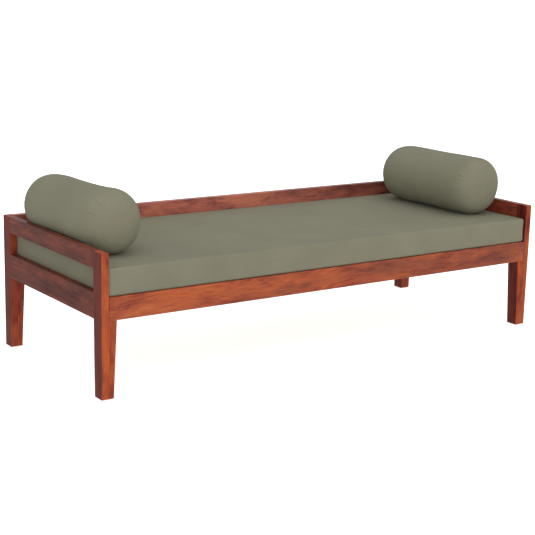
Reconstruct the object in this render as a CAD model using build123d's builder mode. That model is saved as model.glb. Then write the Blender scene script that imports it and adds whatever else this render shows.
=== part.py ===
"""A low hardwood daybed with a slatted seat, a loose mattress and two round bolsters.

Millimetres. The origin is on the floor in the middle of the footprint. +X runs along the
length to the right-hand end, +Y to the back and +Z up. side is -1 for the left end and 1
for the right end. row is -1 for the front and 1 for the back.
"""

import os
from math import atan2, cos, radians, sin

from build123d import *

# Overall size of the frame
length = 1980
depth = 784
top = 505

# Timber: every post and rail is cut from board of one thickness
board = 28
edge_round = 2
top_edge_round = 1.5

# Legs, measured at the foot and just under the seat rails
foot_width = 46.5
foot_depth = 51
leg_width = 58
leg_depth = 57

# Rails
rail_bottom = 273
front_seat_rail_height = 81
rear_seat_rail_height = 90
end_lower_rail_height = 90
upper_rail_height = 60

# Tenons, and how much deeper each mortise is than its tenon
tenon_thick = 10
tenon_shoulder = 15
long_tenon = 18
end_tenon = 35
glue_room = 1

# Slatted seat
slat_count = 13
slat_width = 80
slat_thick = 18
slat_end_gap = 1
slat_top = 354
ledger_size = 25
cross_rail_bottom = 277

# Feet
glide_height = 3
glide_radius = 12
glide_nail_radius = 1.5
glide_nail_length = 18

# Hardware: bolts with washers and threaded inserts, countersunk screws, dowels
bolt_radius = 4
bolt_length = 45
bolt_head_across = 13
bolt_head_height = 5.3
bolt_hole_radius = 4.3
bolt_heights = (286, 312)
washer_radius = 8
washer_thick = 1.6
insert_radius = 6
insert_length = 15
insert_recess = 0.5
insert_hole_depth = 18
screw_radius = 2
screw_head_radius = 4
screw_head_height = 2.4
screw_hole_radius = 2.1
slat_screw_length = 40
ledger_screw_length = 42
ledger_screw_count = 4
screw_slot_wide = 1.2
screw_slot_deep = 1.2
dowel_radius = 4
dowel_length = 36
dowel_heights = (284.5, 297.5)

# Soft goods
body_gap = 0.3
cover_thick = 2
fill_gap = 0.2
mattress_thick = 96
mattress_end_gap = 3
mattress_front_setback = 4
mattress_back_gap = 4
mattress_corner = 12
mattress_edge = 8
bolster_radius = 117
bolster_half_length = 281
bolster_dome = 70
bolster_shoulder = 55
bolster_y = 18
bolster_x = {"left": -852, "right": 842}

# Zips: a flat strip sewn into a slot in the cover, and a slider that runs on it
zip_width = 10
zip_slider_long = 14
zip_slider_wide = 9
zip_slider_thick = 2
mattress_zip_length = 1500
bolster_zip_length = 380
bolster_zip_below = 50  # degrees below the horizontal, on the side towards the end rail

# Worked out from the dimensions above
inner_length = length - 2 * board
inner_depth = depth - 2 * board
post_inner_y = depth / 2 - leg_depth
post_inner_x = length / 2 - board
board_mid_x = (length - board) / 2
board_mid_y = (depth - board) / 2
slat_bottom = slat_top - slat_thick
ledger_bottom = slat_bottom - ledger_size
ledger_length = length - 2 * leg_width
upper_rail_bottom = top - upper_rail_height
slat_pitch = (inner_length - slat_width - 2 * slat_end_gap) / (slat_count - 1)
slat_xs = [(i - (slat_count - 1) / 2) * slat_pitch for i in range(slat_count)]
ledger_mid_y = inner_depth / 2 - ledger_size / 2
bolt_x = post_inner_x - (leg_width - board) / 2
mattress_bottom = slat_top + body_gap
mattress_top = mattress_bottom + mattress_thick
mattress_front_y = -depth / 2 + mattress_front_setback
mattress_back_y = inner_depth / 2 - mattress_back_gap
mattress_mid_y = (mattress_front_y + mattress_back_y) / 2
mattress_mid_z = mattress_bottom + mattress_thick / 2
bolster_z = mattress_top + body_gap + bolster_radius
seat_rail_heights = {-1: front_seat_rail_height, 1: rear_seat_rail_height}
sides = {"left": -1, "right": 1}
rows = {"front": -1, "rear": 1}

os.makedirs("parts", exist_ok=True)


def save(piece, name):
    """Label a finished piece and write it to its own file."""
    piece.part.label = name
    export_step(piece.part, f"parts/{name}.step")


def tenon_height(rail_height):
    return rail_height - 2 * tenon_shoulder


# ---------------------------------------------------------------- timber frame


def make_leg(side, row):
    """A leg: tapered to the foot, notched for the seat rail, and a slim post above it."""
    outer_x = side * length / 2
    outer_y = row * depth / 2
    has_back_rail = row > 0
    with BuildPart() as leg:
        # Tapered part; the two outer faces stay upright
        for z, width, thick in (
            (glide_height, foot_width, foot_depth),
            (rail_bottom, leg_width, leg_depth),
        ):
            with BuildSketch(Plane.XY.offset(z)):
                with Locations((outer_x - side * width / 2, outer_y - row * thick / 2)):
                    RectangleRounded(width, thick, edge_round)
        loft()
        # Slim post, with its two visible corners rounded
        with BuildSketch(Plane.XY.offset(rail_bottom)) as post:
            with Locations((side * board_mid_x, outer_y - row * leg_depth / 2)):
                Rectangle(board, leg_depth)
            corners = post.vertices().sort_by_distance((outer_x, outer_y, rail_bottom))
            fillet(corners[:2], edge_round)
        extrude(amount=top - rail_bottom)
        # Block behind the seat rail, up to the underside of the slats
        with BuildSketch(Plane.XY.offset(rail_bottom)):
            with Locations((side * bolt_x, row * (post_inner_y + inner_depth / 2) / 2)):
                Rectangle(leg_width - board, leg_depth - board)
        extrude(amount=slat_bottom - rail_bottom)
        top_edges = leg.edges().group_by(Axis.Z)[-1]
        fillet(top_edges.sort_by_distance((outer_x, outer_y, top))[:3], top_edge_round)
        # Mortises for the long rails, cut in from the post's inner side
        long_rails = [(rail_bottom, seat_rail_heights[row])]
        if has_back_rail:
            long_rails.append((upper_rail_bottom, upper_rail_height))
        for bottom, height in long_rails:
            with BuildSketch(Plane.YZ.offset(side * post_inner_x)):
                with Locations((row * board_mid_y, bottom + height / 2)):
                    Rectangle(tenon_thick, tenon_height(height))
            extrude(amount=side * (long_tenon + glue_room), mode=Mode.SUBTRACT)
        # Mortises for the end rails, cut in from the face towards the other leg
        end_rails = (
            (rail_bottom, end_lower_rail_height),
            (upper_rail_bottom, upper_rail_height),
        )
        for bottom, height in end_rails:
            with BuildSketch(Plane.XZ.offset(-row * post_inner_y)):
                with Locations((side * board_mid_x, bottom + height / 2)):
                    Rectangle(tenon_thick, tenon_height(height))
            extrude(amount=-row * (end_tenon + glue_room), mode=Mode.SUBTRACT)
        # Bolt holes through the block
        with BuildSketch(Plane.XZ.offset(-row * post_inner_y)):
            with Locations(*[(side * bolt_x, z) for z in bolt_heights]):
                Circle(bolt_hole_radius)
        extrude(amount=-row * (leg_depth - board), mode=Mode.SUBTRACT)
        # Hole for the glide's nail
        with BuildSketch(Plane.XY.offset(glide_height)):
            with Locations((outer_x - side * foot_width / 2, outer_y - row * foot_depth / 2)):
                Circle(glide_nail_radius)
        extrude(amount=glide_nail_length + glue_room, mode=Mode.SUBTRACT)
    return leg


def make_long_rail(row, bottom, height):
    """A rail along the length, with a tenon at each end."""
    middle = (row * board_mid_y, bottom + height / 2)
    with BuildPart() as rail:
        with BuildSketch(Plane.YZ):
            with Locations(middle):
                RectangleRounded(board, height, edge_round)
        extrude(amount=inner_length / 2, both=True)
        with BuildSketch(Plane.YZ):
            with Locations(middle):
                Rectangle(tenon_thick, tenon_height(height))
        extrude(amount=inner_length / 2 + long_tenon, both=True)
    return rail


def make_seat_rail(row):
    """A long rail with holes for the bolt inserts, the ledger screws and the dowels."""
    inner_face = Plane(
        origin=(0, row * inner_depth / 2, 0), x_dir=(-row, 0, 0), z_dir=(0, row, 0)
    )
    insert_points = [(side * bolt_x, z) for side in (-1, 1) for z in bolt_heights]
    with BuildPart() as rail:
        add(make_long_rail(row, rail_bottom, seat_rail_heights[row]).part)
        for points, radius, hole_depth in (
            (insert_points, insert_radius, insert_hole_depth),
            (ledger_screw_points, screw_hole_radius, ledger_screw_length - ledger_size),
            ([(0, z) for z in dowel_heights], dowel_radius, dowel_length / 2 + glue_room),
        ):
            with BuildSketch(inner_face):
                with Locations(*points):
                    Circle(radius)
            extrude(amount=hole_depth, mode=Mode.SUBTRACT)
    return rail


def make_end_rail(side, bottom, height):
    """A rail across one end, between the front and rear legs, with a tenon at each end."""
    middle = (side * board_mid_x, bottom + height / 2)
    with BuildPart() as rail:
        with BuildSketch(Plane.XZ):
            with Locations(middle):
                RectangleRounded(board, height, edge_round)
        extrude(amount=post_inner_y, both=True)
        with BuildSketch(Plane.XZ):
            with Locations(middle):
                Rectangle(tenon_thick, tenon_height(height))
        extrude(amount=post_inner_y + end_tenon, both=True)
    return rail


# ---------------------------------------------------------------- slatted seat

ledger_screw_pitch = 3 * slat_pitch
ledger_screw_xs = [
    (i - (ledger_screw_count - 1) / 2) * ledger_screw_pitch for i in range(ledger_screw_count)
]
ledger_screw_points = [(x, ledger_bottom + ledger_size / 2) for x in ledger_screw_xs]
slat_screw_xs = slat_xs[1:-1]
end_slat_screw_x = ledger_length / 2 - screw_head_radius * 3
slat_screw_xs = [-end_slat_screw_x, *slat_screw_xs, end_slat_screw_x]


def make_ledger(row):
    """A square strip on the inside of a seat rail, between the legs, that carries the slats."""
    with BuildPart() as ledger:
        with BuildSketch(Plane.YZ):
            with Locations((row * ledger_mid_y, ledger_bottom + ledger_size / 2)):
                Rectangle(ledger_size, ledger_size)
        extrude(amount=ledger_length / 2, both=True)
        with BuildSketch(Plane.XY.offset(slat_bottom)):
            with Locations(*[(x, row * ledger_mid_y) for x in slat_screw_xs]):
                Circle(screw_hole_radius)
        extrude(amount=-(slat_screw_length - slat_thick), mode=Mode.SUBTRACT)
        inner_face = inner_depth / 2 - ledger_size
        with BuildSketch(Plane.XZ.offset(-row * inner_face)):
            with Locations(*ledger_screw_points):
                Circle(screw_hole_radius)
        extrude(amount=-row * ledger_size, mode=Mode.SUBTRACT)
        with BuildSketch(Plane.XZ.offset(-row * inner_face)):
            with Locations(*ledger_screw_points):
                Circle(screw_head_radius)
        extrude(amount=-row * screw_head_height, mode=Mode.SUBTRACT)
    return ledger


def make_cross_rail():
    """The rail under the middle slat, notched round the ledgers and dowelled to the seat rails."""
    with BuildPart() as cross_rail:
        with BuildSketch(Plane.XZ):
            with Locations((0, (cross_rail_bottom + slat_bottom) / 2)):
                RectangleRounded(board, slat_bottom - cross_rail_bottom, edge_round)
        extrude(amount=inner_depth / 2, both=True)
        for row in rows.values():
            with BuildSketch(Plane.YZ):
                with Locations((row * ledger_mid_y, ledger_bottom + ledger_size / 2)):
                    Rectangle(ledger_size, ledger_size)
            extrude(amount=board, both=True, mode=Mode.SUBTRACT)
            with BuildSketch(Plane.XZ.offset(-row * inner_depth / 2)):
                with Locations(*[(0, z) for z in dowel_heights]):
                    Circle(dowel_radius)
            extrude(amount=row * (dowel_length / 2 + glue_room), mode=Mode.SUBTRACT)
    return cross_rail


def make_slat(x, screw_x):
    """One slat, with a countersunk screw hole near each end."""
    with BuildPart() as slat:
        with BuildSketch(Plane.XZ):
            with Locations((x, slat_top - slat_thick / 2)):
                RectangleRounded(slat_width, slat_thick, edge_round)
        extrude(amount=inner_depth / 2 - slat_end_gap, both=True)
        with BuildSketch(Plane.XY.offset(slat_top)):
            with Locations((screw_x, ledger_mid_y), (screw_x, -ledger_mid_y)):
                Circle(screw_hole_radius)
        extrude(amount=-slat_thick, mode=Mode.SUBTRACT)
        with BuildSketch(Plane.XY.offset(slat_top)):
            with Locations((screw_x, ledger_mid_y), (screw_x, -ledger_mid_y)):
                Circle(screw_head_radius)
        extrude(amount=-screw_head_height, mode=Mode.SUBTRACT)
    return slat


# ---------------------------------------------------------------- hardware


def make_screw(shank_length):
    """A countersunk wood screw pointing down, with a crossed slot in its head, head top at z = 0."""
    with BuildPart() as screw:
        with BuildSketch(Plane.XZ):
            with BuildLine():
                Polyline(
                    (0, 0),
                    (screw_head_radius - fill_gap, 0),
                    (screw_radius, -screw_head_height),
                    (screw_radius, screw_radius - shank_length),
                    (0, -shank_length),
                    close=True,
                )
            make_face()
        revolve(axis=Axis.Z)
        with BuildSketch(Plane.XY):
            Rectangle(screw_head_radius, screw_slot_wide)
            Rectangle(screw_slot_wide, screw_head_radius)
        extrude(amount=-screw_slot_deep, mode=Mode.SUBTRACT)
    return screw


def make_slat_screws():
    """One screw at each end of each slat, down into the ledger."""
    with BuildPart() as screws:
        with Locations(
            *[(x, row * ledger_mid_y, slat_top) for x in slat_screw_xs for row in (-1, 1)]
        ):
            add(make_screw(slat_screw_length - glue_room).part)
    return screws


def make_ledger_screws():
    """Screws through each ledger into its seat rail."""
    head_y = inner_depth / 2 - ledger_size
    with BuildPart() as screws:
        for row in rows.values():
            with Locations(*[(x, row * head_y, z) for x, z in ledger_screw_points]):
                add(make_screw(ledger_screw_length - glue_room).part, rotation=(row * 90, 0, 0))
    return screws


def make_rail_bolts():
    """Hexagon bolts from inside each leg's block into the seat rail."""
    with BuildPart() as bolts:
        for row in rows.values():
            under_head = post_inner_y - washer_thick
            points = [(side * bolt_x, z) for side in (-1, 1) for z in bolt_heights]
            with BuildSketch(Plane.XZ.offset(-row * under_head)):
                with Locations(*points):
                    RegularPolygon(bolt_head_across / 2, 6, major_radius=False)
            extrude(amount=row * bolt_head_height)
            with BuildSketch(Plane.XZ.offset(-row * under_head)):
                with Locations(*points):
                    Circle(bolt_radius)
            extrude(amount=-row * bolt_length)
    return bolts


def make_rail_bolt_washers():
    """A flat washer under each bolt head."""
    with BuildPart() as washers:
        for row in rows.values():
            with BuildSketch(Plane.XZ.offset(-row * post_inner_y)):
                with Locations(*[(side * bolt_x, z) for side in (-1, 1) for z in bolt_heights]):
                    Circle(washer_radius)
                    Circle(bolt_hole_radius, mode=Mode.SUBTRACT)
            extrude(amount=row * washer_thick)
    return washers


def make_rail_inserts():
    """Threaded inserts in the seat rails, one for each bolt."""
    with BuildPart() as inserts:
        for row in rows.values():
            with BuildSketch(Plane.XZ.offset(-row * (inner_depth / 2 + insert_recess))):
                with Locations(*[(side * bolt_x, z) for side in (-1, 1) for z in bolt_heights]):
                    Circle(insert_radius - fill_gap)
                    Circle(bolt_radius + fill_gap, mode=Mode.SUBTRACT)
            extrude(amount=-row * insert_length)
    return inserts


def make_cross_rail_dowels():
    """Round dowels half in the cross rail and half in each seat rail."""
    with BuildPart() as dowels:
        for row in rows.values():
            with BuildSketch(Plane.XZ.offset(-row * inner_depth / 2)):
                with Locations(*[(0, z) for z in dowel_heights]):
                    Circle(dowel_radius - fill_gap)
            extrude(amount=dowel_length / 2, both=True)
    return dowels


def make_foot_glides():
    """A round glide with a nail under each foot."""
    feet = [
        (side * (length - foot_width) / 2, row * (depth - foot_depth) / 2)
        for side in (-1, 1)
        for row in (-1, 1)
    ]
    with BuildPart() as glides:
        with BuildSketch():
            with Locations(*feet):
                Circle(glide_radius)
        extrude(amount=glide_height)
        fillet(glides.edges().group_by(Axis.Z)[0], glide_height / 3)
        with BuildSketch(Plane.XY.offset(glide_height)):
            with Locations(*feet):
                Circle(glide_nail_radius - fill_gap)
        extrude(amount=glide_nail_length)
    return glides


# ---------------------------------------------------------------- mattress


def make_mattress_block(inset):
    """The mattress's rounded block, drawn in by inset on every face."""
    size_x = inner_length - 2 * mattress_end_gap - 2 * inset
    size_y = mattress_back_y - mattress_front_y - 2 * inset
    with BuildPart() as block:
        with BuildSketch(Plane.XY.offset(mattress_bottom + inset)):
            with Locations((0, mattress_mid_y)):
                RectangleRounded(size_x, size_y, mattress_corner - inset)
        extrude(amount=mattress_thick - 2 * inset)
        rims = block.faces().filter_by(Axis.Z).edges()
        fillet(rims, mattress_edge - inset)
    return block


def make_mattress_zip():
    """The closed zip, a flat strip along the middle of the mattress's back face."""
    with BuildPart() as zip_strip:
        with BuildSketch(Plane.XZ.offset(-mattress_back_y)):
            with Locations((0, mattress_mid_z)):
                Rectangle(mattress_zip_length, zip_width)
        extrude(amount=cover_thick)
    return zip_strip


def make_mattress_cover():
    """The fabric cover, a closed skin with a slot for the zip."""
    with BuildPart() as cover:
        add(make_mattress_block(0).part)
        add(make_mattress_block(cover_thick).part, mode=Mode.SUBTRACT)
        add(make_mattress_zip().part, mode=Mode.SUBTRACT)
    return cover


def make_mattress_zip_slider():
    """The slider at the left end of the zip, just clear of it."""
    left_stop = -(mattress_zip_length - zip_slider_long) / 2
    with BuildPart() as slider:
        with BuildSketch(Plane.XZ.offset(-mattress_back_y - body_gap)):
            with Locations((left_stop, mattress_mid_z)):
                RectangleRounded(zip_slider_long, zip_slider_wide, zip_slider_wide / 3)
        extrude(amount=-zip_slider_thick)
    return slider


# ---------------------------------------------------------------- bolsters


def make_bolster_form(x, inset):
    """A round bolster along Y with domed ends, drawn in by inset on every face."""
    radius = bolster_radius - inset
    shoulder = bolster_shoulder - inset
    tip = bolster_half_length - inset
    # The shoulder arc leaves the flank and runs into the end arc, whose centre is on the axis
    shoulder_y = bolster_half_length - bolster_dome
    shoulder_r = radius - shoulder
    spread = bolster_dome - bolster_shoulder
    end_radius = ((tip - shoulder_y) ** 2 + shoulder_r**2 - shoulder**2) / (2 * spread)
    lean = atan2(shoulder_r, shoulder_y - (tip - end_radius))
    join_y = shoulder_y + shoulder * cos(lean)
    join_z = bolster_z + shoulder_r + shoulder * sin(lean)
    with BuildPart() as form:
        with BuildSketch(Plane.YZ.offset(x)):
            with BuildLine():
                half = [(shoulder_y, bolster_z + radius), (join_y, join_z), (tip, bolster_z)]
                for way in (-1, 1):
                    flank_end, join, end = [(bolster_y + way * y, z) for y, z in half]
                    corner = TangentArc(flank_end, join, tangent=(way, 0))
                    TangentArc(join, end, tangent=corner % 1)
                Line((bolster_y - shoulder_y, half[0][1]), (bolster_y + shoulder_y, half[0][1]))
                Line((bolster_y - tip, bolster_z), (bolster_y + tip, bolster_z))
            make_face()
        revolve(axis=Axis((x, bolster_y, bolster_z), (0, 1, 0)))
    return form


def zip_direction(side):
    """The angle in the XZ plane, in degrees, from a bolster's middle to its zip."""
    return -bolster_zip_below if side > 0 else 180 + bolster_zip_below


def make_bolster_zip(side, x):
    """The closed zip, a curved strip along the low outer side of a bolster."""
    angle = zip_direction(side)
    middle_radius = bolster_radius - cover_thick / 2
    with BuildPart() as zip_strip:
        with BuildSketch(Plane.XZ.offset(-bolster_y)):
            with Locations((x, bolster_z)):
                Circle(bolster_radius)
                Circle(bolster_radius - cover_thick, mode=Mode.SUBTRACT)
            with Locations(
                (
                    x + middle_radius * cos(radians(angle)),
                    bolster_z + middle_radius * sin(radians(angle)),
                )
            ):
                Rectangle(3 * cover_thick, zip_width, rotation=angle, mode=Mode.INTERSECT)
        extrude(amount=bolster_zip_length / 2, both=True)
    return zip_strip


def make_bolster_cover(side, x):
    """The fabric cover, a closed skin with a slot for the zip."""
    with BuildPart() as cover:
        add(make_bolster_form(x, 0).part)
        add(make_bolster_form(x, cover_thick).part, mode=Mode.SUBTRACT)
        add(make_bolster_zip(side, x).part, mode=Mode.SUBTRACT)
    return cover


def make_bolster_zip_slider(side, x):
    """The slider at the front end of the zip, just clear of it."""
    angle = zip_direction(side)
    middle_radius = bolster_radius + body_gap + zip_slider_thick / 2
    front_stop = bolster_y - (bolster_zip_length - zip_slider_long) / 2
    with BuildPart() as slider:
        with BuildSketch(Plane.XZ.offset(-front_stop)):
            with Locations(
                (
                    x + middle_radius * cos(radians(angle)),
                    bolster_z + middle_radius * sin(radians(angle)),
                )
            ):
                RectangleRounded(
                    zip_slider_thick, zip_slider_wide, zip_slider_thick / 4, rotation=angle
                )
        extrude(amount=zip_slider_long / 2, both=True)
    return slider


# ---------------------------------------------------------------- all the pieces

for end, side in sides.items():
    for face, row in rows.items():
        save(make_leg(side, row), f"leg_{face}_{end}")
    lower = make_end_rail(side, rail_bottom, end_lower_rail_height)
    save(lower, f"end_lower_rail_{end}")
    upper = make_end_rail(side, upper_rail_bottom, upper_rail_height)
    save(upper, f"end_upper_rail_{end}")

for face, row in rows.items():
    save(make_seat_rail(row), f"{face}_seat_rail")
    save(make_ledger(row), f"ledger_{face}")

save(make_long_rail(1, upper_rail_bottom, upper_rail_height), "back_top_rail")
save(make_cross_rail(), "cross_rail")
for number, (slat_x, screw_x) in enumerate(zip(slat_xs, slat_screw_xs), start=1):
    save(make_slat(slat_x, screw_x), f"slat_{number:02d}")

save(make_slat_screws(), "slat_screws")
save(make_ledger_screws(), "ledger_screws")
save(make_rail_bolts(), "rail_bolts")
save(make_rail_bolt_washers(), "rail_bolt_washers")
save(make_rail_inserts(), "rail_inserts")
save(make_cross_rail_dowels(), "cross_rail_dowels")
save(make_foot_glides(), "foot_glides")

save(make_mattress_cover(), "mattress_cover")
save(make_mattress_block(cover_thick + fill_gap), "mattress_core")
save(make_mattress_zip(), "mattress_zip")
save(make_mattress_zip_slider(), "mattress_zip_slider")

for end, side in sides.items():
    middle_x = bolster_x[end]
    save(make_bolster_cover(side, middle_x), f"bolster_{end}_cover")
    insert = make_bolster_form(middle_x, cover_thick + fill_gap)
    save(insert, f"bolster_{end}_insert")
    save(make_bolster_zip(side, middle_x), f"bolster_{end}_zip")
    save(make_bolster_zip_slider(side, middle_x), f"bolster_{end}_zip_slider")
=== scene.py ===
import math
import random

import bmesh
import bpy
from mathutils import Matrix, Vector, noise


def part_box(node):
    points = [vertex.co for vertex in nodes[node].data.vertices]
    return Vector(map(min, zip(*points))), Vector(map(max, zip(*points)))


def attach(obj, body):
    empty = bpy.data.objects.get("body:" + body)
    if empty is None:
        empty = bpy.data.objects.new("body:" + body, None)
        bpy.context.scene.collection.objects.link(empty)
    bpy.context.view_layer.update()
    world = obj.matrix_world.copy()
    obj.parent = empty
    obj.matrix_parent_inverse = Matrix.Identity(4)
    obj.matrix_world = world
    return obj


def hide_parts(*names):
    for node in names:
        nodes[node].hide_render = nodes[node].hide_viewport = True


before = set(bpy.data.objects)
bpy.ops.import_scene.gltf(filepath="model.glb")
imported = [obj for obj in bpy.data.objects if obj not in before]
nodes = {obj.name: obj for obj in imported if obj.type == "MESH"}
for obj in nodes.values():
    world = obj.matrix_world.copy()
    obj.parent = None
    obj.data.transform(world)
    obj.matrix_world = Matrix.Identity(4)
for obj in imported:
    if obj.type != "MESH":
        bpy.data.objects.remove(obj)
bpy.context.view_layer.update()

draw = random.Random(7)
mm = 0.001


# ---------------------------------------------------------------- node helpers


class Graph:
    """Writes a node tree in short calls."""

    def __init__(self, tree):
        self.tree = tree
        tree.nodes.clear()

    def add(self, kind, inputs, **settings):
        node = self.tree.nodes.new("ShaderNode" + kind)
        for name, value in settings.items():
            setattr(node, name, value)
        for key, value in inputs.items():
            if isinstance(value, bpy.types.NodeSocket):
                self.tree.links.new(value, node.inputs[key])
            else:
                node.inputs[key].default_value = value
        return node

    def math(self, operation, a, b=0.0, clamp=False):
        return self.add("Math", {0: a, 1: b}, operation=operation, use_clamp=clamp).outputs[0]

    def blend_sum(self, *parts):
        """Adds up values, each times its weight."""
        shares = [self.math("MULTIPLY", value, weight) for value, weight in parts]
        total = shares[0]
        for share in shares[1:]:
            total = self.math("ADD", total, share)
        return total

    def dot(self, a, b):
        """How far one vector reaches along the other."""
        return self.add("VectorMath", {0: a, 1: b}, operation="DOT_PRODUCT").outputs["Value"]

    def edge_wear_and_highlight(self, radius, at_edge, whole):
        """1 along the piece's edges and 0 on its flat sides. at_edge and whole are how far the rounded
        normal still reaches along the flat one at 1 and at 0."""
        rounded = self.add("Bevel", {"Radius": radius}, samples=4).outputs[0]
        flat = self.add("NewGeometry", {}).outputs["Normal"]
        return self.spread(self.dot(rounded, flat), whole, at_edge)

    def waves(self, value, pitch):
        """A sine wave along value, one for each pitch."""
        return self.math("SINE", self.math("MULTIPLY", value, 2 * math.pi / pitch))

    def spread(self, value, low, high, to_low=0.0, to_high=1.0, smooth=True):
        kind = "SMOOTHSTEP" if smooth else "LINEAR"
        inputs = {0: value, 1: low, 2: high, 3: to_low, 4: to_high}
        return self.add("MapRange", inputs, interpolation_type=kind).outputs[0]

    def stretch(self, vector, scale):
        return self.add("VectorMath", {0: vector, 1: scale}, operation="MULTIPLY").outputs[0]

    def noise(self, vector, detail=2.0, roughness=0.5, distortion=0.0, scale=1.0):
        inputs = {
            "Vector": vector,
            "Scale": scale,
            "Detail": detail,
            "Roughness": roughness,
            "Distortion": distortion,
        }
        return self.add("TexNoise", inputs).outputs[0]

    def split(self, vector):
        return self.add("SeparateXYZ", {0: vector}).outputs

    def join(self, x, y, z):
        return self.add("CombineXYZ", {0: x, 1: y, 2: z}).outputs[0]

    def mix(self, factor, a, b, blend="MIX"):
        return self.add("Mix", {0: factor, 6: a, 7: b}, data_type="RGBA", blend_type=blend).outputs[2]

    def ramp(self, factor, stops):
        node = self.add("ValToRGB", {0: factor})
        band = node.color_ramp.elements
        for extra in stops[2:]:
            band.new(extra[0])
        for element, (place, colour) in zip(band, stops):
            element.position = place
            element.color = (*colour, 1.0)
        return node.outputs[0]

    def bump(self, height, distance, strength=1.0):
        return self.add(
            "Bump", {"Height": height, "Distance": distance, "Strength": strength}
        ).outputs[0]


def new_group(name, inputs, outputs):
    tree = bpy.data.node_groups.new(name, "ShaderNodeTree")
    graph = Graph(tree)
    for label, kind in inputs:
        tree.interface.new_socket(label, in_out="INPUT", socket_type=kind)
    for label, kind in outputs:
        tree.interface.new_socket(label, in_out="OUTPUT", socket_type=kind)
    given = tree.nodes.new("NodeGroupInput").outputs
    result = tree.nodes.new("NodeGroupOutput").inputs
    return graph, given, result


def new_material(name):
    material = bpy.data.materials.new(name)
    material.use_nodes = True
    return material, Graph(material.node_tree)


def finish_material(graph, shader):
    graph.add("OutputMaterial", {0: shader.outputs[0]})


def object_coordinates(graph):
    return graph.add("TexCoord", {}).outputs["Object"]


# ---------------------------------------------------------------- wood


def make_wood_group():
    """Figure of one board. Its vector runs along the grain in x, and in y and z it is the place
    measured from the tree's heart."""
    graph, given, result = new_group(
        "board_figure",
        [
            ("Vector", "NodeSocketVector"),
            ("Dark", "NodeSocketColor"),
            ("Middle", "NodeSocketColor"),
            ("Light", "NodeSocketColor"),
            ("Streak", "NodeSocketColor"),
            ("Darkness", "NodeSocketFloat"),
        ],
        [
            ("Color", "NodeSocketColor"),
            ("Roughness", "NodeSocketFloat"),
            ("Height", "NodeSocketFloat"),
        ],
    )
    vector = given["Vector"]
    sway = graph.noise(graph.stretch(vector, (2.2, 6.0, 6.0)), detail=2.0)
    sway_fine = graph.noise(graph.stretch(vector, (11.0, 30.0, 30.0)), detail=2.0)
    shift = graph.blend_sum((sway, 0.10), (sway_fine, 0.016))
    x, y, z = graph.split(vector)
    across = graph.join(0.0, graph.math("ADD", y, shift), graph.math("SUBTRACT", z, shift))
    radius = graph.add("VectorMath", {0: across}, operation="LENGTH").outputs["Value"]

    ring_place = graph.join(graph.math("MULTIPLY", x, 0.8), graph.math("MULTIPLY", radius, 95.0), 0.0)
    rings = graph.noise(ring_place, detail=3.0, roughness=0.55)
    band_place = graph.join(graph.math("MULTIPLY", x, 1.1), graph.math("MULTIPLY", radius, 26.0), 3.0)
    bands = graph.noise(band_place, detail=2.0)
    clouds = graph.noise(graph.stretch(vector, (6.0, 20.0, 20.0)), detail=3.0, roughness=0.6)
    flecks = graph.noise(graph.stretch(vector, (26.0, 120.0, 120.0)), detail=3.0, roughness=0.6)
    fibres = graph.noise(graph.stretch(vector, (12.0, 420.0, 420.0)), detail=3.0, roughness=0.65)
    pores = graph.noise(graph.stretch(vector, (70.0, 1500.0, 1500.0)), detail=1.0)

    tone = graph.blend_sum((rings, 0.28), (clouds, 0.50), (flecks, 0.22))
    tone = graph.math("SUBTRACT", tone, given["Darkness"])
    colour = graph.mix(graph.spread(tone, 0.34, 0.50), given["Dark"], given["Middle"])
    colour = graph.mix(graph.spread(tone, 0.46, 0.60), colour, given["Light"])
    sapwood = graph.math("MULTIPLY", graph.spread(bands, 0.60, 0.72), 0.5)
    colour = graph.mix(sapwood, colour, given["Streak"])
    off_line = graph.math("ABSOLUTE", graph.math("SUBTRACT", rings, 0.47))
    wisps = graph.math("MULTIPLY", graph.spread(off_line, 0.030, 0.0), graph.spread(clouds, 0.62, 0.40))
    colour = graph.mix(graph.math("MULTIPLY", wisps, 0.48), colour, given["Dark"])
    lines = graph.spread(fibres, 0.30, 0.70, 0.80, 1.14)
    colour = graph.mix(1.0, colour, graph.join(lines, lines, lines), "MULTIPLY")
    open_pore = graph.spread(pores, 0.60, 0.72)
    colour = graph.mix(graph.math("MULTIPLY", open_pore, 0.4), colour, given["Dark"])

    gloss = graph.spread(fibres, 0.25, 0.75, 0.36, 0.48)
    roughness = graph.blend_sum((gloss, 1.0), (open_pore, 0.15))
    height = graph.math("SUBTRACT", graph.math("MULTIPLY", fibres, 0.5), open_pore)
    graph.tree.links.new(colour, result["Color"])
    graph.tree.links.new(roughness, result["Roughness"])
    graph.tree.links.new(height, result["Height"])
    return graph.tree


wood_group = make_wood_group()

# Colours of the polished frame and of its darker heartwood, which on the left end rails stands for painted
# shade too.
polished = {
    "Dark": (0.190, 0.030, 0.016, 1.0),
    "Middle": (0.370, 0.070, 0.026, 1.0),
    "Light": (0.480, 0.105, 0.030, 1.0),
    "Streak": (0.560, 0.160, 0.050, 1.0),
}
heartwood_and_shade = {
    "Dark": (0.060, 0.013, 0.010, 1.0),
    "Middle": (0.112, 0.029, 0.021, 1.0),
    "Light": (0.148, 0.040, 0.028, 1.0),
    "Streak": (0.200, 0.060, 0.040, 1.0),
}
# Painted shade on the legs' sides that face left, away from the lights, and the duller wood of the back
# rail.
painted_leg_shade = {
    "Dark": (0.068, 0.009, 0.007, 1.0),
    "Middle": (0.130, 0.021, 0.014, 1.0),
    "Light": (0.165, 0.030, 0.019, 1.0),
    "Streak": (0.210, 0.046, 0.030, 1.0),
}
rosy = {
    "Dark": (0.180, 0.044, 0.040, 1.0),
    "Middle": (0.400, 0.112, 0.080, 1.0),
    "Light": (0.520, 0.145, 0.090, 1.0),
    "Streak": (0.620, 0.200, 0.110, 1.0),
}
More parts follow.
